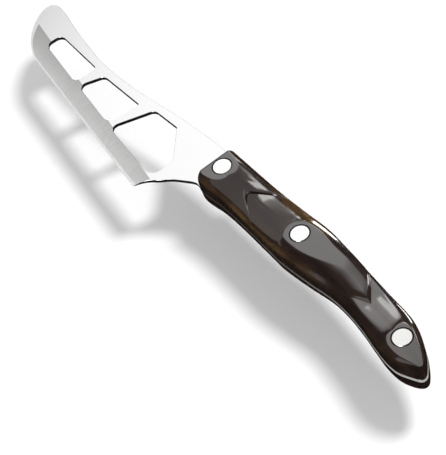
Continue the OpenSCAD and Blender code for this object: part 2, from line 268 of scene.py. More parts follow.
def drawn_in(distance, r):
    """How far a rounding of radius r draws a side in, at a distance from its end."""
    inside = np.clip(distance, 0, r)
    return r - np.sqrt(np.maximum(r**2 - (r - inside) ** 2, 0))


def eased(u):
    v = np.clip(u, 0, 1)
    return v * v * (3 - 2 * v)


def risen(value, reach):
    """A share that eases from 0 at the start of a reach to 1 at its end."""
    return eased((value - reach[0]) / (reach[1] - reach[0]))


def faded(value, reach):
    return 1 - risen(value, reach)


TOP_EDGE = scaled(TOP_SHARES, HANDLE_L, HANDLE_W)
BOTTOM_EDGE = scaled(BOTTOM_SHARES, HANDLE_L, HANDLE_W)
LEAN = scaled(LEAN_SHARES, HANDLE_L, HANDLE_W)
CROWN = [
    (HANDLE_FRONT - MARKS[i] + share * (MARKS[i] - MARKS[i + 1]), height * HALF_T)
    for i, rows in enumerate(CROWN_SHARES)
    for share, height in rows
]


def side_top(x):
    top = curve(TOP_EDGE, HANDLE_FRONT - x)
    return top - drawn_in(HANDLE_FRONT - x, FRONT_TOP_R) - drawn_in(x - BUTT_X, BUTT_TOP_R)


def side_bottom(x):
    bottom = curve(BOTTOM_EDGE, HANDLE_FRONT - x)
    return bottom + drawn_in(HANDLE_FRONT - x, FRONT_BOTTOM_R) + drawn_in(x - BUTT_X, BUTT_BOTTOM_R)


# Handle scales

def tent(s, point, reach):
    """Share of a V's bend that a station takes: all at the V's point, less ahead of it and behind it."""
    ahead = np.clip(1 - (s - point) / reach[0], 0, 1) ** TENT_POWER
    behind = np.clip(1 - (point - s) / reach[1], 0, 1) ** TENT_POWER
    return np.where(s > point, ahead, behind)


def thumb_arm(u):
    """How far behind its point the thumb's V lies: straight to the spine's side, curved to the edge's."""
    return np.where(u > 0, THUMB_EDGE_RUN * np.abs(u) ** THUMB_EDGE_POWER, THUMB_RUN * np.abs(u))


def place(s, a):
    """Where a station lies along the handle, a share a of the half width from its middle."""
    forward = tent(s, SWELL_X, PALM_REACH) * PALM_RUN * np.abs(a - PALM_POINT)
    return s + HANDLE_W * (forward - tent(s, THUMB_X, THUMB_REACH) * thumb_arm(a - THUMB_POINT))


def step_face(behind, lead, run):
    """Share of a step's drop at a distance behind its line: a rounded lip, steepest at the foot."""
    return np.clip((behind + lead) / run, 0, 1) ** 2


def shoulder_cut(a, x):
    """What the steeper shoulder beside the thumb's scoop takes off, on the side towards the spine."""
    across = np.abs(a)
    spots = [row[0] for row in SHOULDER_EDGE]
    edge = np.interp(x, spots, [row[1] for row in SHOULDER_EDGE])
    span = eased((spots[-1] - x) / SHOULDER_RUN) * eased((x - spots[0]) / SHOULDER_RUN)
    beyond = across - edge
    rounded = (beyond + np.sqrt(beyond**2 + SHOULDER_BLEND**2) - SHOULDER_BLEND) / 2
    cut = SHOULDER_SLOPE * HANDLE_W / 2 * rounded
    return np.where(a < 0, cut * span * faded(across, SHOULDER_FADE), 0)


def depth(s, a, x):
    """How far the scale lies below its plain crown at a station, a share of the half width and a place: in
    the thumb's scoop and beside it, behind the palm's step, and in the shallow forms ahead of them."""
    across = np.abs(a)
    past_thumb = np.clip((THUMB_X - x) / (THUMB_X - SCOOP_END), 0, 1)
    thumb_fade = np.where(a < 0, faded(across, THUMB_SPINE_FADE), faded(across, THUMB_FADE))
    thumb = THUMB_STEP * step_face(THUMB_X - s, *THUMB_FACE) * (1 - past_thumb**SCOOP_POWER) * thumb_fade
    lead = np.clip((DISH_START - s) / (DISH_START - THUMB_X), 0, 1)
    dish = DISH_DEPTH * lead**DISH_POWER * (1 - past_thumb) * np.clip(1 - (a / DISH_HALF) ** 2, 0, 1) ** 2
    past_palm = np.clip((SWELL_X - x) / (SWELL_X - SWELL_END), 0, 1)
    face = step_face(SWELL_X - s, *PALM_FACE)
    palm_fade = np.where(a < 0, faded(across, PALM_SPINE_FADE), faded(across, PALM_FADE))
    palm = SWELL_STEP * face * (1 - past_palm)
    roll = SWELL_ROLL * np.clip(1 - (s - SWELL_X) / SWELL_ROLL_RUN, 0, 1) ** 2 * (1 - face)
    roll = roll * risen(a, SWELL_ROLL_SIDE)
    carved = np.where(s > SWELL_X + SWELL_ROLL_RUN, thumb + dish, palm_fade * (palm + roll))
    return carved + shoulder_cut(a, x)


def soft_min(a, b, blend):
    """The lower of two heights, rounded where they cross."""
    overlap = np.maximum(blend - np.abs(a - b), 0) / blend
    return np.minimum(a, b) - overlap**2 * blend / 4


def scale_grid(butt_r, stations, turns):
    """Points of the upper scale, one row for each station and one column for each turn over the section."""
    s, turn = np.meshgrid(stations, turns, indexing="ij")
    a = -np.sign(np.cos(turn)) * np.abs(np.cos(turn)) ** (2 / ACROSS_POWER)
    x = place(s, a)
    spine = risen(x, SPINE_FRONT_REACH) * risen(x, SPINE_REAR_REACH) * risen(-a, SPINE_SIDE_REACH)
    lift = np.maximum(np.sin(turn), 0) ** (2 / (UP_POWER + (SPINE_UP_POWER - UP_POWER) * spine))
    top = side_top(x)
    bottom = side_bottom(x)
    height = curve(CROWN, HANDLE_FRONT - s) - depth(s, a, x)
    height = height - drawn_in(x - BUTT_X, butt_r)
    y = (top + bottom) / 2 + a * (top - bottom) / 2 + curve(LEAN, HANDLE_FRONT - x) * lift**2
    ground = soft_min(height * lift, HALF_T, FLAT_BLEND) - drawn_in(HANDLE_FRONT - x, FRONT_RIM_R)
    z = HALF_T + np.maximum(ground, BLADE_T / 2)
    return np.stack([x, y, z], axis=-1)


def spread(start, end, gap):
    """Places from start to end, about gap apart."""
    return np.linspace(start, end, max(int(abs(end - start) / gap), 1) + 1)


def scale_stations():
    """Stations from the front end to the butt, close together at the ends and at the two steps."""
    corner = 1 - np.cos(np.linspace(0, math.pi / 2, END_STATIONS))
    butt = BUTT_X + BUTT_RUN * corner[::-1]
    parts = [HANDLE_FRONT - FRONT_TOP_R * corner]
    for at, (lead, run), gap in [(THUMB_X, THUMB_FACE, FRONT_GAP), (SWELL_X, PALM_FACE, MIDDLE_GAP)]:
        start = at + lead + STEP_MARGIN
        end = at + lead - run - STEP_MARGIN
        parts += [spread(parts[-1][-1], start, gap), spread(start, end, STEP_GAP)]
    parts += [spread(parts[-1][-1], butt[0], REAR_GAP), butt]
    return np.unique(np.concatenate(parts))[::-1]


def linked(name, data):
    """A new object of the scene, made from a mesh, a lamp or a camera."""
    obj = bpy.data.objects.new(name, data)
    bpy.context.scene.collection.objects.link(obj)
    return obj


def mesh_object(name, vertices, faces, finish=None):
    data = bpy.data.meshes.new(name)
    data.from_pydata([tuple(v * MM for v in p) for p in vertices], [], faces)
    data.update()
    if finish:
        data.materials.append(finish)
    return linked(name, data)


def lathe(name, profile, steps, at):
    """A closed solid of revolution from (radius, height) pairs, standing at a place in the frame."""
    points = []
    for r, z in profile:
        for k in range(steps):
            turn = 2 * math.pi * k / steps
            points.append((at[0] + r * math.cos(turn), at[1] + r * math.sin(turn), z))
    faces = []
    for ring in range(len(profile) - 1):
        for k in range(steps):
            low = ring * steps
            high = low + steps
            n = (k + 1) % steps
            faces.append((low + k, low + n, high + n, high + k))
    faces.append(tuple(range(steps - 1, -1, -1)))
    faces.append(tuple((len(profile) - 1) * steps + k for k in range(steps)))
    return mesh_object(name, points, faces)


def bore(obj, cutter):
    """Cuts the cutter out of obj and removes the cutter."""
    cut = obj.modifiers.new("bore", "BOOLEAN")
    cut.operation = "DIFFERENCE"
    cut.solver = "EXACT"
    cut.object = cutter
    bpy.context.view_layer.objects.active = obj
    bpy.ops.object.modifier_apply(modifier=cut.name)
    bpy.data.objects.remove(cutter, do_unlink=True)


def smooth_shading(obj, angle):
    """Smooth shading, with edges that turn by more than the angle, in degrees, kept sharp."""
    bpy.context.view_layer.objects.active = obj
    for other in bpy.context.selected_objects:
        other.select_set(False)
    obj.select_set(True)
    bpy.ops.object.shade_smooth_by_angle(angle=math.radians(angle), keep_sharp_edges=True)
    obj.select_set(False)


def handle_scale(name, butt_r, lower, finish):
    """A sculpted scale with its three counterbored holes. The lower one is turned over."""
    grid = scale_grid(butt_r, scale_stations(), np.linspace(0, math.pi, SECTION_POINTS))
    if lower:
        grid[:, :, 2] = HANDLE_T - grid[:, :, 2]
    rows, columns = grid.shape[:2]
    faces = [tuple(range(columns)), tuple((rows - 1) * columns + j for j in range(columns - 1, -1, -1))]
    for i in range(rows - 1):
        for j in range(columns):
            p = i * columns + j
            q = i * columns + (j + 1) % columns
            faces.append((p, p + columns, q + columns, q))
    if lower:
        faces = [tuple(reversed(face)) for face in faces]
    obj = mesh_object(name, grid.reshape(-1, 3), faces, finish)
    head = HEAD_D / 2 + RIVET_GAP
    hole = TUBE_D / 2 + RIVET_GAP
    seat = HANDLE_T - HEAD_T
    profile = [
        (hole, HALF_T - CUT_PAST), (hole, seat), (head, seat), (head, HANDLE_T - HOLE_RIM),
        (head + HOLE_RIM + CUT_PAST, HANDLE_T + CUT_PAST),
    ]
    if lower:
        profile = [(r, HANDLE_T - z) for r, z in reversed(profile)]
    for at in RIVETS:
        bore(obj, lathe("cutter", profile, HOLE_SIDES, at))
    smooth_shading(obj, SCALE_SHARP)
    return obj


# Blade

def unit(v):
    return v / np.linalg.norm(v)


def fillet(before, corner, after, r, steps):
    """Points of the arc of radius r that rounds a corner."""
    u = unit(before - corner)
    v = unit(after - corner)
    half = math.acos(float(np.dot(u, v))) / 2
    centre = corner + unit(u + v) * r / math.sin(half)
    start = corner + u * r / math.tan(half) - centre
    turn = math.pi - 2 * half
    if u[0] * v[1] - u[1] * v[0] > 0:
        turn = -turn
    points = []
    for i in range(steps + 1):
        t = turn * i / steps
        c = math.cos(t)
        s = math.sin(t)
        points.append(centre + np.array([start[0] * c - start[1] * s, start[0] * s + start[1] * c]))
    return points


def arc(centre, r, start, end, steps):
    turns = np.radians(np.linspace(start, end, steps + 1))
    return [centre + r * np.array([math.cos(t), math.sin(t)]) for t in turns]


HEEL_CORNER = np.array([HANDLE_FRONT + HEEL_CORNER_SHARE * BLADE_L, BLADE_W])
EDGE_TURN = -math.degrees(math.atan(EDGE_FALL))
EDGE_NORMAL = np.array([-math.sin(math.radians(EDGE_TURN)), math.cos(math.radians(EDGE_TURN))])
SWEEP_X = TIP_X - TIP_R - (SWEEP_R - TIP_R) * math.cos(math.radians(TIP_TURN))
SWEEP_START_X = SWEEP_X + SWEEP_R * EDGE_NORMAL[0]
SWEEP_START = np.array([SWEEP_START_X, BLADE_W - (SWEEP_START_X - HEEL_CORNER[0]) * EDGE_FALL])
SWEEP_CENTRE = SWEEP_START - SWEEP_R * EDGE_NORMAL
TIP_AXIS = np.array([math.cos(math.radians(TIP_TURN)), math.sin(math.radians(TIP_TURN))])
TIP_CENTRE = SWEEP_CENTRE + (SWEEP_R - TIP_R) * TIP_AXIS
GRIND_START = HEEL_CORNER - np.array([0, GRIND_HEEL_W])
GRIND_END = SWEEP_START - np.array([0, GRIND_TIP_W])
GRIND_ALONG = unit(GRIND_END - GRIND_START)
GRIND_ACROSS = np.array([-GRIND_ALONG[1], GRIND_ALONG[0]])
BEVEL_RISE = (BLADE_T - EDGE_T) / (2 * BEVEL_W)


def grind_height(points):
    """Half the blade's thickness on its flats and in the hollow grind, whose section is a shallow arc."""
    u = np.clip((points - GRIND_START) @ GRIND_ACROSS / GRIND_TIP_W, 0, GRIND_REACH)
    hollow = GRIND_T / 2 + (BLADE_T - GRIND_T) / 2 * np.abs(1 - u) ** HOLLOW_POWER
    return np.where(u > 0, hollow, BLADE_T / 2)


def edge_depth(points):
    """How far inside the cutting edge a point lies: from its straight stretch, or from its sweep."""
    straight = (SWEEP_START - points) @ EDGE_NORMAL
    along = (points - SWEEP_START) @ np.array([EDGE_NORMAL[1], -EDGE_NORMAL[0]])
    sweep = SWEEP_R - np.linalg.norm(points - SWEEP_CENTRE, axis=-1)
    return np.where(along < 0, straight, sweep)


def bevel_height(points):
    return EDGE_T / 2 + np.maximum(edge_depth(points), 0) * BEVEL_RISE


def along_curve(table, places):
    """Points of the smooth curve through a table, at places ahead of the handle."""
    return [np.array([HANDLE_FRONT + x, y]) for x, y in zip(places, curve(table, places))]


def blade_outline():
    """The outline's points: the tang, the heel, the cutting edge, the tip, the spine and the tang again."""
    corner = [1 - math.cos(math.pi / 2 * i / BUTT_STEPS) for i in range(BUTT_STEPS + 1)]
    tang = [BUTT_X + BUTT_TOP_R * share for share in corner]
    tang += list(spread(tang[-1], HANDLE_FRONT - FRONT_TOP_R, TANG_GAP))[1:]
    heel = [(-FRONT_TOP_R, float(side_top(np.array(HANDLE_FRONT - FRONT_TOP_R))))]
    heel += scaled(HEEL_SHARES, BLADE_L, BLADE_W)
    heel += [(HEEL_CORNER[0] - HANDLE_FRONT, HEEL_CORNER[1])]
    heel_places = np.linspace(-FRONT_TOP_R, HEEL_CORNER[0] - HANDLE_FRONT, HEEL_POINTS)
    spine = scaled(SPINE_SHARES, BLADE_L, BLADE_W)
    spine_places = np.linspace(spine[-1][0], 0, SPINE_POINTS)
    points = [np.array([x, float(side_top(np.array(x)))]) for x in tang]
    points += along_curve(heel, heel_places)[1:]
    points += [HEEL_CORNER + (SWEEP_START - HEEL_CORNER) * i / EDGE_STEPS for i in range(1, EDGE_STEPS)]
    points += arc(SWEEP_CENTRE, SWEEP_R, 90 + EDGE_TURN, TIP_TURN, EDGE_STEPS)
    points += arc(TIP_CENTRE, TIP_R, TIP_TURN, TIP_END_TURN, TIP_STEPS)[1:]
    points += along_curve(spine, spine_places)[1:]
    points += [np.array([x, float(side_bottom(np.array(x)))]) for x in reversed(tang)]
    return np.array(points)


def window_outline(corners):
    places = [np.array([HANDLE_FRONT + c[0] * BLADE_L, c[1] * BLADE_W]) for c in corners]
    points = []
    for i, corner in enumerate(corners):
        before = places[i - 1]
        after = places[(i + 1) % len(places)]
        points += fillet(before, places[i], after, corner[2] * BLADE_W, CORNER_STEPS)
    return np.array(points)


def circle(at, r, steps):
    return np.array(arc(np.array(at, float), r, 0, 360, steps)[:-1])


def inward(points):
    """The unit normal of each side of a closed outline, to its left when it runs anticlockwise."""
    sides = np.roll(points, -1, axis=0) - points
    sides = sides / np.linalg.norm(sides, axis=1)[:, None]
    return np.stack([-sides[:, 1], sides[:, 0]], axis=1)


def inset(points, distances):
    """A closed anticlockwise outline moved inwards, by a distance for each of its sides."""
    normals = inward(points)
    before = np.roll(normals, 1, axis=0)
    shift_before = np.roll(distances, 1)
    middle = normals + before
    middle = middle / np.linalg.norm(middle, axis=1)[:, None]
    mean = (distances + shift_before) / 2
    return points + middle * (mean / np.maximum((middle * normals).sum(1), MITRE_LEAST))[:, None]


def area(points):
    after = np.roll(points, -1, axis=0)
    return ((points[:, 0] * after[:, 1] - after[:, 0] * points[:, 1]).sum()) / 2


def bevel_inset(points):
    """How far in each side's rim goes: a narrow chamfer, or the cutting edge's final bevel."""
    normals = inward(points)
    middles = (points + np.roll(points, -1, axis=0)) / 2
    reach = np.full(len(points), RIM_CHAMFER)
    for i in np.where(bevel_height(middles) < grind_height(middles) - BEVEL_LEAST)[0]:
        line = middles[i] + normals[i] * BEVEL_DEPTHS[:, None]
        reach[i] = max(BEVEL_DEPTHS[np.argmax(bevel_height(line) >= grind_height(line))], RIM_CHAMFER)
    return reach


def ground_plate(rims):
    """The blade's upper face inside its rims, cut along the ground band's lines and raised to height."""
    plate = bmesh.new()
    for _, inner in rims:
        ring = [plate.verts.new((p[0], p[1], 0)) for p in inner]
        for i, vertex in enumerate(ring):
            plate.edges.new((vertex, ring[(i + 1) % len(ring)]))
    bmesh.ops.triangle_fill(plate, use_beauty=True, edges=plate.edges[:], normal=(0, 0, 1))
    for share in GRIND_LINES:
        at = GRIND_START + GRIND_ACROSS * GRIND_TIP_W * share
        bmesh.ops.bisect_plane(
            plate, geom=plate.verts[:] + plate.edges[:] + plate.faces[:], dist=SNAP,
            plane_co=(at[0], at[1], 0), plane_no=(GRIND_ACROSS[0], GRIND_ACROSS[1], 0),
        )
    for face in plate.faces:
        if face.normal.z < 0:
            face.normal_flip()
        middle = np.array(face.calc_center_median()[:2])
        face.material_index = SATIN if (middle - GRIND_START) @ GRIND_ACROSS > 0 else POLISHED
    points = np.array([vertex.co[:2] for vertex in plate.verts])
    on_line = np.abs((points - GRIND_START) @ GRIND_ACROSS) < ON_LINE
    creased = {vertex for vertex, found in zip(plate.verts, on_line) if found}
    for edge in plate.edges:
        if edge.verts[0] in creased and edge.verts[1] in creased:
            edge.smooth = False
    for vertex, height in zip(plate.verts, grind_height(points)):
        vertex.co.z = height
    return plate


def add_rims(plate, rims):
    """Takes the plate out to its outline and its holes, by a chamfer or by the edge's final bevel."""
    inner_points = np.concatenate([inner for _, inner in rims])
    inner_sides = np.concatenate([np.roll(inner, -1, axis=0) for _, inner in rims]) - inner_points
    outer_points = np.concatenate([outer for outer, _ in rims])
    outer_sides = np.concatenate([np.roll(outer, -1, axis=0) for outer, _ in rims]) - outer_points
    squares = np.maximum((inner_sides**2).sum(1), TINY)
    rim_edges = [edge for edge in plate.edges if len(edge.link_faces) == 1]
    for edge in rim_edges:
        edge.smooth = False
    added = bmesh.ops.extrude_edge_only(plate, edges=rim_edges)["geom"]
    for vertex in [item for item in added if isinstance(item, bmesh.types.BMVert)]:
        p = np.array(vertex.co[:2])
        t = np.clip(((p - inner_points) * inner_sides).sum(1) / squares, 0, 1)
        k = int(np.argmin(np.linalg.norm(inner_points + inner_sides * t[:, None] - p, axis=1)))
        q = outer_points[k] + outer_sides[k] * t[k]
        chamfered = max(vertex.co.z - RIM_CHAMFER, EDGE_T / 2)
        vertex.co = (q[0], q[1], min(chamfered, float(bevel_height(q))))
    for face in [item for item in added if isinstance(item, bmesh.types.BMFace)]:
        middle = face.calc_center_median()
        if float(edge_depth(np.array(middle[:2]))) < BEVEL_W and middle.x > HEEL_CORNER[0] - HEEL_MARGIN:
            face.material_index = HONED


def close_blade(plate):
    """Adds the upper half's mirror image, and walls between the two with the finish of their place."""
    upper = plate.verts[:]
    outer_edges = [edge for edge in plate.edges if len(edge.link_faces) == 1]
    for edge in outer_edges:
        edge.smooth = False
    twin = bmesh.ops.duplicate(plate, geom=plate.verts[:] + plate.edges[:] + plate.faces[:])
    lower = twin["vert_map"]
    for vertex in upper:
        lower[vertex].co.z = -vertex.co.z
    for item in twin["geom"]:
        if isinstance(item, bmesh.types.BMFace):
            item.normal_flip()
    for edge in outer_edges:
        loop = edge.link_loops[0]
        start = loop.vert
        end = loop.link_loop_next.vert
        wall = plate.faces.new((end, start, lower[start], lower[end]))
        on_tang = (start.co.x + end.co.x) / 2 < HANDLE_FRONT
        on_edge = abs(start.co.z) < EDGE_T
        # Walls off the tang and off the edge take the finish with painted shade
        wall.material_index = BUFFED if on_tang else HONED if on_edge else PAINTED_SHADE_WALL


def settle_order(plate):
    """Puts the elements in order of place, since the extrusion's own order changes from run to run."""
    places = [
        (plate.verts, lambda vertex: vertex.co),
        (plate.edges, lambda edge: edge.verts[0].co + edge.verts[1].co),
        (plate.faces, lambda face: face.calc_center_median()),
    ]
    for elements, place_of in places:
        for i, element in enumerate(sorted(elements, key=lambda item: tuple(place_of(item)))):
            element.index = i
        elements.sort()


def blade_mesh(name, finishes):
    """The blade: flats, a hollow grind, a final bevel and chamfered rims on each side."""
    outline = blade_outline()
    if area(outline) < 0:
        outline = outline[::-1]
    holes = [window_outline(corners) for corners in WINDOW_SHARES]
    holes += [circle(at, TUBE_D / 2 + RIVET_GAP, TANG_HOLE_SIDES) for at in RIVETS]
    holes = [hole[::-1] if area(hole) > 0 else hole for hole in holes]
    rims = [(outline, inset(outline, bevel_inset(outline)))]
    rims += [(hole, inset(hole, np.full(len(hole), RIM_CHAMFER))) for hole in holes]
    plate = ground_plate(rims)
    add_rims(plate, rims)
    close_blade(plate)
    settle_order(plate)
    bmesh.ops.translate(plate, verts=plate.verts[:], vec=(0, 0, HALF_T))
    bmesh.ops.scale(plate, verts=plate.verts[:], vec=(MM, MM, MM))
    data = bpy.data.meshes.new(name)
    plate.to_mesh(data)
    plate.free()
    obj = linked(name, data)
    for finish in finishes:
        data.materials.append(finish)
    smooth_shading(obj, BLADE_SHARP)
    return obj


# Materials

class Nodes:
    """Adds shader nodes to a tree and links them."""

    def __init__(self, tree):
        self.tree = tree
        self.tree.nodes.clear()

    def add(self, kind, inputs=None, **settings):
        node = self.tree.nodes.new(kind)
        for key, value in settings.items():
            setattr(node, key, value)
        for key, value in (inputs or {}).items():
            if isinstance(value, bpy.types.NodeSocket):
                self.tree.links.new(value, node.inputs[key])
            else:
                node.inputs[key].default_value = value
        return node

    def calc(self, operation, a, b=0.0):
        return self.add("ShaderNodeMath", {0: a, 1: b}, operation=operation).outputs["Value"]

    def axis(self, vector, letter):
        return self.add("ShaderNodeSeparateXYZ", {"Vector": vector}).outputs[letter]

    def position(self):
        """The place on the object, in metres along the knife's own axes."""
        return self.add("ShaderNodeTexCoord").outputs["Object"]

    def noise(self, scale, detail=4.0, distortion=0.0, roughness=0.5):
        """Noise over the object, with a scale for each of the knife's axes."""
        mapping = self.add("ShaderNodeMapping", {"Vector": self.position(), "Scale": scale})
        node = self.add("ShaderNodeTexNoise", {
            "Vector": mapping.outputs["Vector"], "Scale": 1.0, "Detail": detail, "Distortion": distortion,
            "Roughness": roughness,
        })
        return node.outputs["Fac"]

    def ramp(self, factor, stops):
        node = self.add("ShaderNodeValToRGB", {"Fac": factor})
        elements = node.color_ramp.elements
        while len(elements) < len(stops):
            elements.new(0.5)
        for element, (position, colour) in zip(elements, stops):
            element.position = position
            element.color = (*colour, 1)
        return node.outputs["Color"]

    def between(self, factor, low, high):
        """From low to high, evenly, as a factor goes from 0 to 1."""
        node = self.add("ShaderNodeMapRange", {"Value": factor, "To Min": low, "To Max": high})
        return node.outputs["Result"]

    def rise(self, value, reach, unit=1.0, low=0.0):
        """From low to 1, eased, as a value crosses a reach that is given in the unit."""
        return self.add("ShaderNodeMapRange", {
            "Value": value, "From Min": reach[0] * unit, "From Max": reach[1] * unit, "To Min": low,
        }, interpolation_type="SMOOTHSTEP").outputs["Result"]

    def mix(self, share, first, second, kind="MIX"):
        node = self.add(
            "ShaderNodeMix", {0: share, 6: first, 7: second}, data_type="RGBA", blend_type=kind)
        return node.outputs[2]

    def bump(self, height, distance, strength):
        inputs = {"Height": height, "Distance": distance, "Strength": strength}
        return self.add("ShaderNodeBump", inputs).outputs["Normal"]

    def output(self, shader, kind="ShaderNodeOutputMaterial"):
        self.add(kind, {"Surface": shader})


def material(name):
    made = bpy.data.materials.new(name)
    made.use_nodes = True
    return made, Nodes(made.node_tree)


def surface(nodes, **inputs):
    """Ends a tree in a principled shader, whose inputs are named with underscores for spaces."""
    named = {key.replace("_", " "): value for key, value in inputs.items()}
    shader = nodes.add("ShaderNodeBsdfPrincipled", named)
    nodes.output(shader.outputs["BSDF"])


def blade_steel():
    """Polished steel with fine grinding lines across the blade and faint stains of handling."""
    made, nodes = material("blade_steel")
    lines = nodes.noise((9000, 250, 400), detail=3)
    clouds = nodes.noise((60, 60, 60), detail=5, roughness=0.6)
    colour = nodes.ramp(clouds, [(0.3, (0.635, 0.637, 0.64)), (0.7, (0.66, 0.66, 0.655))])
    rough = nodes.between(clouds, 0.13, 0.19)
    surface(
        nodes, Base_Color=colour, Metallic=1.0, Roughness=rough,
        Normal=nodes.bump(lines, 0.000004, 0.35),
    )
    return made


def honed_steel():
    """The final bevel, left finely scratched by the stone, so that it catches light from all round. Its
    near-white, mostly matte colour is a painted highlight along the edge.
    """
    made, nodes = material("honed_steel")
    scratches = nodes.noise((5000, 900, 900), detail=3)
    # Near-white: a painted highlight along the edge, with a random tone from the scratches
    colour = nodes.ramp(scratches, [(0.3, (0.86, 0.86, 0.86)), (0.7, (0.95, 0.95, 0.95))])
    surface(
        nodes, Base_Color=colour, Metallic=0.2, Roughness=nodes.between(scratches, 0.45, 0.6),
        Normal=nodes.bump(scratches, 0.00001, 0.4),
    )
    return made


def satin_steel():
    """The hollow-ground band, satin from the wheel, with its fine lines across the blade."""
    made, nodes = material("satin_steel")
    lines = nodes.noise((7000, 300, 300), detail=4)
    clouds = nodes.noise((90, 90, 90), detail=4, roughness=0.6)
    colour = nodes.ramp(lines, [(0.3, (0.60, 0.60, 0.595)), (0.7, (0.68, 0.68, 0.675))])
    surface(
        nodes, Base_Color=colour, Metallic=1.0, Roughness=nodes.between(clouds, 0.20, 0.27),
        Normal=nodes.bump(lines, 0.000006, 0.4),
    )
    return made


def painted_shade_wall_steel():
    """The walls that blanking left, along the spine and round the windows, painted near-black as shade,
    with a random tone.
    """
    made, nodes = material("painted_shade_wall_steel")
    scale = nodes.noise((900, 900, 2500), detail=4)
    # Near-black: painted shade on the walls, with a random tone
    colour = nodes.ramp(scale, [(0.3, (0.012, 0.011, 0.010)), (0.7, (0.035, 0.032, 0.030))])
    surface(
        nodes, Base_Color=colour, Metallic=0.6, Roughness=nodes.between(scale, 0.45, 0.65),
        Normal=nodes.bump(scale, 0.00002, 0.4),
    )
    return made


def buffed_steel():
    """The tang's rim, buffed with the handle to a satin. Its light grey, partly matte colour is a painted
    highlight, and painted shade darkens it towards the blade.
    """
    made, nodes = material("buffed_steel")
    lines = nodes.noise((150, 150, 6000), detail=3)
    along = nodes.axis(nodes.position(), "X")
    # Along the tang: painted shade towards the blade, a painted highlight towards the butt
    wear_and_painted_light = nodes.add("ShaderNodeMapRange", {
        "Value": along, "From Min": HANDLE_FRONT * MM, "From Max": BUTT_X * MM,
    }).outputs["Result"]
    painted_tang_light = nodes.ramp(wear_and_painted_light, [
        (0.1, (0.10, 0.08, 0.07)), (0.55, (0.28, 0.26, 0.25)), (0.9, (0.85, 0.84, 0.82)),
    ])
    shades = nodes.ramp(lines, [(0.3, (0.85, 0.85, 0.85)), (0.7, (1, 1, 1))])
    colour = nodes.mix(1.0, painted_tang_light, shades, "MULTIPLY")
    surface(
        nodes, Base_Color=colour, Metallic=0.35, Roughness=nodes.between(lines, 0.4, 0.55),
        Normal=nodes.bump(lines, 0.00001, 0.4),
    )
    return made


def rivet_metal():
    """Polished nickel silver, with a slightly warm colour and fine scratches."""
    made, nodes = material("rivet_metal")
    clouds = nodes.noise((400, 400, 400), detail=4)
    colour = nodes.ramp(clouds, [(0.3, (0.86, 0.855, 0.84)), (0.7, (0.92, 0.915, 0.90))])
    scratches = nodes.noise((6000, 700, 700), detail=2)
    surface(
        nodes, Base_Color=colour, Metallic=1.0, Roughness=nodes.between(clouds, 0.2, 0.3),
        Normal=nodes.bump(scratches, 0.000004, 0.3),
    )
    return made


# Painted light on the resin: a lighter, warmer brown where light falls on its sides. Where it comes in,
# each reach from none of it to all. On steep faces it grows towards the blade from its least share. Faces
# turned to the spine have it between two borders. Both fade at the vertical rim, and a gap with four
# borders leaves the thumb's step without it.
PAINTED_LIGHT_ALONG = (-30, 30)
PAINTED_LIGHT_LEAST = 0.12
PAINTED_LIGHT_STEEP = (0.94, 0.4)
PAINTED_LIGHT_SPINE = (-0.22, -0.42)
PAINTED_LIGHT_SPINE_BORDERS = [(-12, 2), (30, 22)]
PAINTED_LIGHT_RIM = (0.15, 0.5)
PAINTED_LIGHT_GAP = [("X", 15, 18), ("X", 35, 32), ("Y", -5.4, -4.4), ("Y", 8.6, 7.4)]


def handle_resin():
    """Glossy dark brown resin with marbled streaks. Painted light in a lighter, warmer brown shows on its
    steep sides and on faces turned to the spine, most near the blade, and the polish has left faint waves
    and fine scuffs."""
    made, nodes = material("handle_resin")
    marble = nodes.noise((38, 110, 90), detail=6, distortion=1.2, roughness=0.6)
    dark = nodes.ramp(marble, [
        (0.30, (0.014, 0.0085, 0.008)), (0.52, (0.022, 0.014, 0.012)),
        (0.64, (0.036, 0.022, 0.015)), (0.80, (0.022, 0.013, 0.011)),
    ])
    # The lighter, warmer brown of the painted light, streaked like the marble
    painted_light_resin = nodes.ramp(marble, [
        (0.30, (0.030, 0.016, 0.009)), (0.50, (0.085, 0.048, 0.020)),
        (0.62, (0.16, 0.095, 0.040)), (0.80, (0.060, 0.032, 0.014)),
    ])
    position = nodes.position()
    along = nodes.axis(position, "X")
    facing = nodes.add("ShaderNodeNewGeometry").outputs["Normal"]
    level = nodes.calc("ABSOLUTE", nodes.axis(facing, "Z"))
    front = nodes.rise(along, PAINTED_LIGHT_ALONG, MM, PAINTED_LIGHT_LEAST)
    share = nodes.calc("MULTIPLY", front, nodes.rise(level, PAINTED_LIGHT_STEEP))
    spine = nodes.rise(nodes.axis(facing, "Y"), PAINTED_LIGHT_SPINE)
    for reach in PAINTED_LIGHT_SPINE_BORDERS:
        spine = nodes.calc("MULTIPLY", spine, nodes.rise(along, reach, MM))
    share = nodes.calc("MAXIMUM", share, spine)
    gap = 1.0
    for axis, *reach in PAINTED_LIGHT_GAP:
        gap = nodes.calc("MULTIPLY", gap, nodes.rise(nodes.axis(position, axis), reach, MM))
    share = nodes.calc("MULTIPLY", share, nodes.calc("SUBTRACT", 1.0, gap))
    share = nodes.calc("MULTIPLY", share, nodes.rise(level, PAINTED_LIGHT_RIM))
    # Mixes in the painted light where the mask above puts it
    colour = nodes.mix(share, dark, painted_light_resin)
    waves = nodes.noise((120, 160, 160), detail=2)
    wear_and_painted_light = nodes.noise((700, 1400, 1400), detail=6, roughness=0.65)
    surface(
        nodes, Base_Color=colour, Roughness=nodes.between(wear_and_painted_light, 0.10, 0.18),
        IOR=1.6, Coat_Weight=1.0, Coat_Roughness=0.05, Coat_IOR=1.5,
        Normal=nodes.bump(waves, 0.00004, 0.2),
    )
    return made


# The object

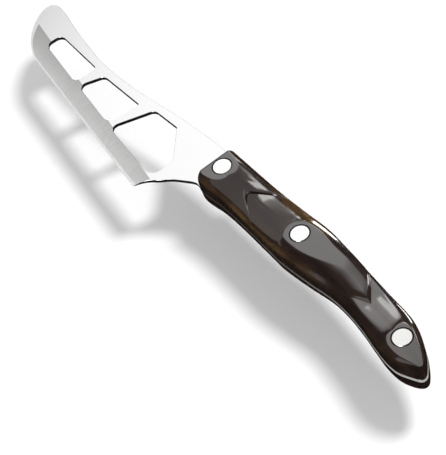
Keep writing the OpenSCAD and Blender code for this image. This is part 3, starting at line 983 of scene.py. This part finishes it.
STEEL = blade_steel()
NICKEL = rivet_metal()
RESIN = handle_resin()
blade_finishes = [STEEL, honed_steel(), painted_shade_wall_steel(), buffed_steel(), satin_steel()]
blade = blade_mesh("blade_ground", blade_finishes)
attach(blade, "root")
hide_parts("blade")
for scale_name, butt_r, lower in [("upper_scale", RIM_R, False), ("lower_scale", LOWER_BUTT_R, True)]:
    scale_object = handle_scale(scale_name + "_sculpted", butt_r, lower, RESIN)
    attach(scale_object, "root")
    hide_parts(scale_name)
for node_name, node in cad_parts.items():
    if "rivet" in node_name:
        node.data.materials.clear()
        node.data.materials.append(NICKEL)


# Table, light and camera

# How far the table lies under the knife, how far it reaches, and the glow that the camera and the gloss see
FLOOR_DROP = 20.9
FLOOR_REACH = 2500
FLOOR_GLOW = 0.08
# The round lamp: where it stands, what it points at, its radius, and its power in watts
KEY_AT = Vector((-325.5, -474.0, 1169.0))
KEY_AIM = Vector((52.0, 5.0, 8.0))
KEY_R = 140.0
KEY_POWER = 10.7
# The even light on dull surfaces, and the light that the gloss sees between the softboxes
AMBIENT = 0.56
STUDIO_DIM = 0.02
# Softboxes that shine in the gloss. Each has its radiance and its reach as a roll about the knife's length,
# in degrees from straight up towards the edge's side, and as the share of its direction that lies along X.
# A reach is four numbers: where it starts and is full, and where it begins to fail and ends. The fourth
# softbox and the last were added for views from above and from the spine's side.
SOFTBOXES = [
    (1.6, (-52, -44, -17, 12), (0.42, 0.56, 0.70, 0.82)),
    (2.5, (-47, -41, -36, -27), (0.56, 0.61, 0.69, 0.74)),
    (4.5, (-85, -66, -54, -44), (0.16, 0.24, 0.33, 0.45)),
    (1.0, (-14, -9, 3, 8), (-0.4, -0.34, 0.18, 0.24)),
    (6.0, (35, 45, 88, 98), (-0.52, -0.44, -0.27, -0.21)),
    (0.6, (50, 60, 88, 98), (-0.24, -0.2, 0.3, 0.4)),
]
# Cards that only the gloss sees. The dark one lies under the knife and draws its dark rims. Each other has
# its start and end along the knife, its two long sides across and up, and its radiance at start and end.
CARD_REACH = 1200
CARD_Z = -2
DARK_CARD = (0.012, 0.008, 0.006)
PALE_CARD = (1, 0.98, 0.95)
CARDS = [
    # Bright, for short highlights along the spine
    (24, 52, (-60, CARD_Z), (-60, 20), 7.0, 7.0),
    (-27, -9, (-60, CARD_Z), (-60, 12), 7.0, 7.0),
    (93, 112, (-79, 36), (-71, 54), 3.5, 3.5),
    # Grey, above the thumb's scoop and the dish ahead of it, which show them instead of a softbox
    (17.5, 31, (-30, 30), (25, 30), 0.45, 0.45),
    (31, 41, (-30, 30), (-4, 30), 0.45, 1.3),
    (31, 41, (-4, 30), (25, 30), 0.45, 0.4),
    (41, 51, (-12, 30), (25, 30), 0.4, 0.4),
    # Bright, for the patch in the scoop
    (38, 42, (-15, 29), (-5, 29), 4.5, 4.0),
    # Black, beside the handle, so that the thumb's step doesn't show a bright softbox
    (0, 52, (40, 16), (40, 95), 0.0, 0.0),
]
# The camera's sensor in millimetres, and the nearest and the farthest that it sees in metres
SENSOR_W = 36
CLIP_START = 0.01
CLIP_END = 20


def square(reach, z):
    return [(i * reach, j * reach, z) for i, j in [(-1, -1), (1, -1), (1, 1), (-1, 1)]]


def floor():
    """A white table, whose shadow stays in every view."""
    made, nodes = material("table_white")
    path = nodes.add("ShaderNodeLightPath").outputs
    seen = nodes.calc("MAXIMUM", path["Is Camera Ray"], path["Is Glossy Ray"])
    dust = nodes.noise((4, 4, 4))
    white = nodes.ramp(dust, [(0.0, (0.93, 0.93, 0.93)), (1.0, (0.95, 0.95, 0.95))])
    surface(
        nodes, Base_Color=white, Roughness=0.9, Specular_IOR_Level=0.0,
        Emission_Color=(1, 1, 1, 1), Emission_Strength=nodes.calc("MULTIPLY", seen, FLOOR_GLOW),
    )
    obj = mesh_object("table_top", square(FLOOR_REACH, -FLOOR_DROP), [(0, 1, 2, 3)], made)


def card(name, colour, radiance, corners):
    """A card that only the gloss sees, with its radiance at its start and its end."""
    made, nodes = material(name)
    along = nodes.axis(nodes.add("ShaderNodeTexCoord").outputs["Generated"], "X")
    strength = nodes.between(along, *radiance)
    shader = nodes.add("ShaderNodeEmission", {"Color": (*colour, 1), "Strength": strength})
    nodes.output(shader.outputs["Emission"])
    obj = mesh_object(name, corners, [(0, 1, 2, 3)], made)
    obj.visible_camera = False
    obj.visible_diffuse = False
    obj.visible_shadow = False
    obj.visible_transmission = False


def cards():
    card("dark_card", DARK_CARD, (1.0, 1.0), square(CARD_REACH, CARD_Z))
    for i, (start, end, low, high, *radiance) in enumerate(CARDS):
        corners = [(start, *low), (end, *low), (end, *high), (start, *high)]
        card(f"gloss_card_{i}", PALE_CARD, radiance, corners)


def key_lamp():
    """The round lamp that casts the shadow. The gloss sees the studio's softboxes in its place."""
    data = bpy.data.lights.new("key", "AREA")
    data.shape = "DISK"
    data.size = 2 * KEY_R * MM
    data.energy = KEY_POWER
    obj = linked("key", data)
    turn = (KEY_AT - KEY_AIM).to_track_quat("Z", "Y").to_matrix().to_4x4()
    obj.matrix_world = Matrix.Translation(KEY_AT * MM) @ turn
    obj.visible_glossy = False


def studio():
    """The world: white to the camera, softboxes to the gloss, and an even light to everything else."""
    world = bpy.data.worlds.new("studio")
    bpy.context.scene.world = world
    world.use_nodes = True
    nodes = Nodes(world.node_tree)

    def window(value, reach):
        start, full, failing, end = reach
        fall = nodes.rise(value, (end, failing))
        return nodes.calc("MULTIPLY", nodes.rise(value, (start, full)), fall)

    def background(strength):
        node = nodes.add("ShaderNodeBackground", {"Color": (1, 1, 1, 1), "Strength": strength})
        return node.outputs["Background"]

    def seen_by(ray, shader, otherwise):
        node = nodes.add("ShaderNodeMixShader", {"Fac": path[ray], 1: otherwise, 2: shader})
        return node.outputs["Shader"]

    path = nodes.add("ShaderNodeLightPath").outputs
    direction = nodes.add("ShaderNodeTexCoord").outputs["Generated"]
    parts = nodes.add("ShaderNodeSeparateXYZ", {"Vector": direction}).outputs
    roll = nodes.calc("ARCTAN2", parts["Y"], parts["Z"])
    total = STUDIO_DIM
    for radiance, roll_reach, along_reach in SOFTBOXES:
        glow = window(roll, [math.radians(turn) for turn in roll_reach])
        glow = nodes.calc("MULTIPLY", glow, window(parts["X"], along_reach))
        total = nodes.calc("ADD", total, nodes.calc("MULTIPLY", glow, radiance))
    indirect = seen_by("Is Glossy Ray", background(total), background(AMBIENT))
    nodes.output(seen_by("Is Camera Ray", background(1.0), indirect), "ShaderNodeOutputWorld")


def camera():
    """The photograph's own view."""
    right = CAMERA_RIGHT.normalized()
    up = -CAMERA_DOWN.normalized()
    back = right.cross(up)
    data = bpy.data.cameras.new("photo_camera")
    data.sensor_width = SENSOR_W
    data.lens = FOCAL_PX / PHOTO_H * SENSOR_W
    data.clip_start = CLIP_START
    data.clip_end = CLIP_END
    obj = linked("photo_camera", data)
    turn = Matrix((right, up, back)).transposed().to_4x4()
    obj.matrix_world = Matrix.Translation(CAMERA_AT * MM) @ turn
    bpy.context.scene.camera = obj


floor()
cards()
key_lamp()
studio()
camera()
bpy.context.scene.view_settings.view_transform = "Standard"
